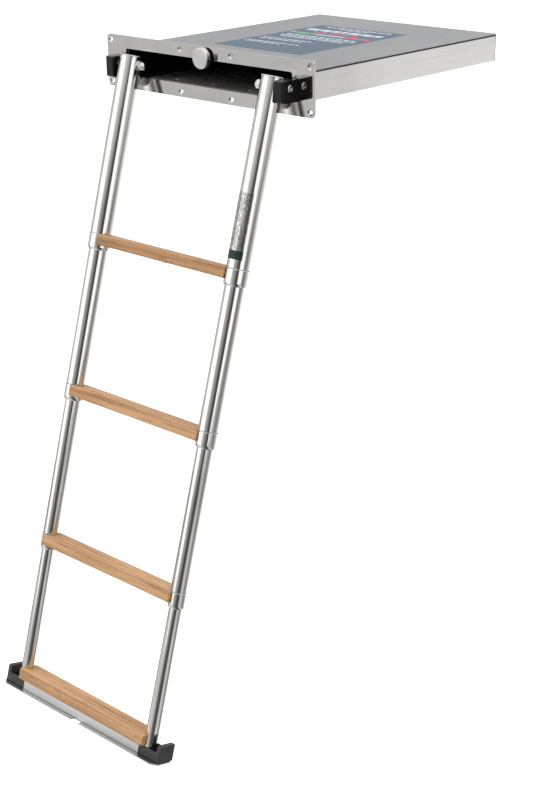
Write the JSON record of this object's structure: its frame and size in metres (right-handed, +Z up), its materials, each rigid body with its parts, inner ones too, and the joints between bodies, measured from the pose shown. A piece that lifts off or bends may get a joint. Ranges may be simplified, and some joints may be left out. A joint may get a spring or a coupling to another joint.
{
  "type": "boat boarding ladder",
  "caption": "Telescopic boarding ladder, hinged to blocks that slide in a flat box mounted under a swim platform, with wooden steps and a screw knob.",
  "frame": {"origin": "centre of the box lid's top face, which bolts up against the underside of the platform", "axes": "+X across the ladder, +Y from the flange into the box, +Z up out of the lid"},
  "size_m": [0.44, 0.8405, 1.0528],
  "materials": {
    "polished_steel": "mirror-polished stainless steel",
    "brushed_steel": "finely brushed stainless steel",
    "black_plastic": "satin black moulded or machined plastic",
    "black_rubber": "dull black sealing bead",
    "grey_nylon": "plain grey nylon",
    "teak": "oiled teak with fine lengthwise grain"
  },
  "bodies": {
    "box": {"flange_plate": "polished_steel", "box_shell": "brushed_steel", "box_lid": "brushed_steel", "lid_seal": "black_rubber", "guide_rail_left": "black_plastic", "guide_rail_right": "black_plastic", "floor_liner": "black_plastic", "liner_rivet_1": "polished_steel", "liner_rivet_2": "polished_steel", "liner_rivet_3": "polished_steel", "knob_stud": "polished_steel"},
    "knob_washer": {"knob_washer": "black_plastic"},
    "knob": {"knob": "brushed_steel"},
    "carriage": {"slider_left": "black_plastic", "slider_right": "black_plastic"},
    "section_1": {"tube_1_left": "polished_steel", "tube_1_right": "polished_steel", "tube_cap_left": "polished_steel", "tube_cap_right": "polished_steel", "hinge_bolt_left": "polished_steel", "hinge_bolt_right": "polished_steel", "thrust_washer_left": "grey_nylon", "thrust_washer_right": "grey_nylon", "nut_washer_left": "polished_steel", "nut_washer_right": "polished_steel", "dome_nut_left": "polished_steel", "dome_nut_right": "polished_steel", "collar_1_left": "polished_steel", "collar_1_right": "polished_steel", "tread_bar_1": "brushed_steel", "step_1": "teak", "tread_screw_1": "brushed_steel"},
    "section_2": {"tube_2_left": "polished_steel", "tube_2_right": "polished_steel", "stop_sleeve_2_left": "grey_nylon", "stop_sleeve_2_right": "grey_nylon", "collar_2_left": "polished_steel", "collar_2_right": "polished_steel", "tread_bar_2": "brushed_steel", "step_2": "teak", "tread_screw_2": "brushed_steel"},
    "section_3": {"tube_3_left": "polished_steel", "tube_3_right": "polished_steel", "stop_sleeve_3_left": "grey_nylon", "stop_sleeve_3_right": "grey_nylon", "collar_3_left": "polished_steel", "collar_3_right": "polished_steel", "tread_bar_3": "brushed_steel", "step_3": "teak", "tread_screw_3": "brushed_steel"},
    "section_4": {"tube_4_left": "polished_steel", "tube_4_right": "polished_steel", "stop_sleeve_4_left": "grey_nylon", "stop_sleeve_4_right": "grey_nylon", "step_4": "teak", "tread_screw_4": "brushed_steel", "end_channel": "brushed_steel", "closing_plate": "brushed_steel", "end_cap_left": "black_plastic", "end_cap_right": "black_plastic"}
  },
  "joints": [
    {"name": "carriage_slide", "type": "slide", "parent": "box", "child": "carriage", "axis": [0, 1, 0], "range_m": [0, 0.001]},
    {"name": "fold", "type": "hinge", "parent": "carriage", "child": "section_1", "pos_m": [0, -0.2665, -0.0225], "axis": [-1, 0, 0], "range_deg": [0, 73.2]},
    {"name": "telescope_2", "type": "slide", "parent": "section_1", "child": "section_2", "axis": [0, 0.289, 0.9573], "range_m": [0, 0.222]},
    {"name": "telescope_3", "type": "slide", "parent": "section_2", "child": "section_3", "axis": [0, 0.289, 0.9573], "range_m": [0, 0.228]},
    {"name": "telescope_4", "type": "slide", "parent": "section_3", "child": "section_4", "axis": [0, 0.289, 0.9573], "range_m": [0, 0.208]},
    {"name": "knob_travel", "type": "slide", "parent": "box", "child": "knob_washer", "axis": [0, -1, 0], "range_m": [0, 0.00377]},
    {"name": "knob_turn", "type": "hinge", "parent": "knob_washer", "child": "knob", "pos_m": [0, -0.26, 0.0015], "axis": [0, -1, 0], "range_deg": [0, 1080]}
  ],
  "couplings": [
    {"joint": "knob_travel", "follows": "knob_turn", "m_per_rad": 0.00019894}
  ]
}
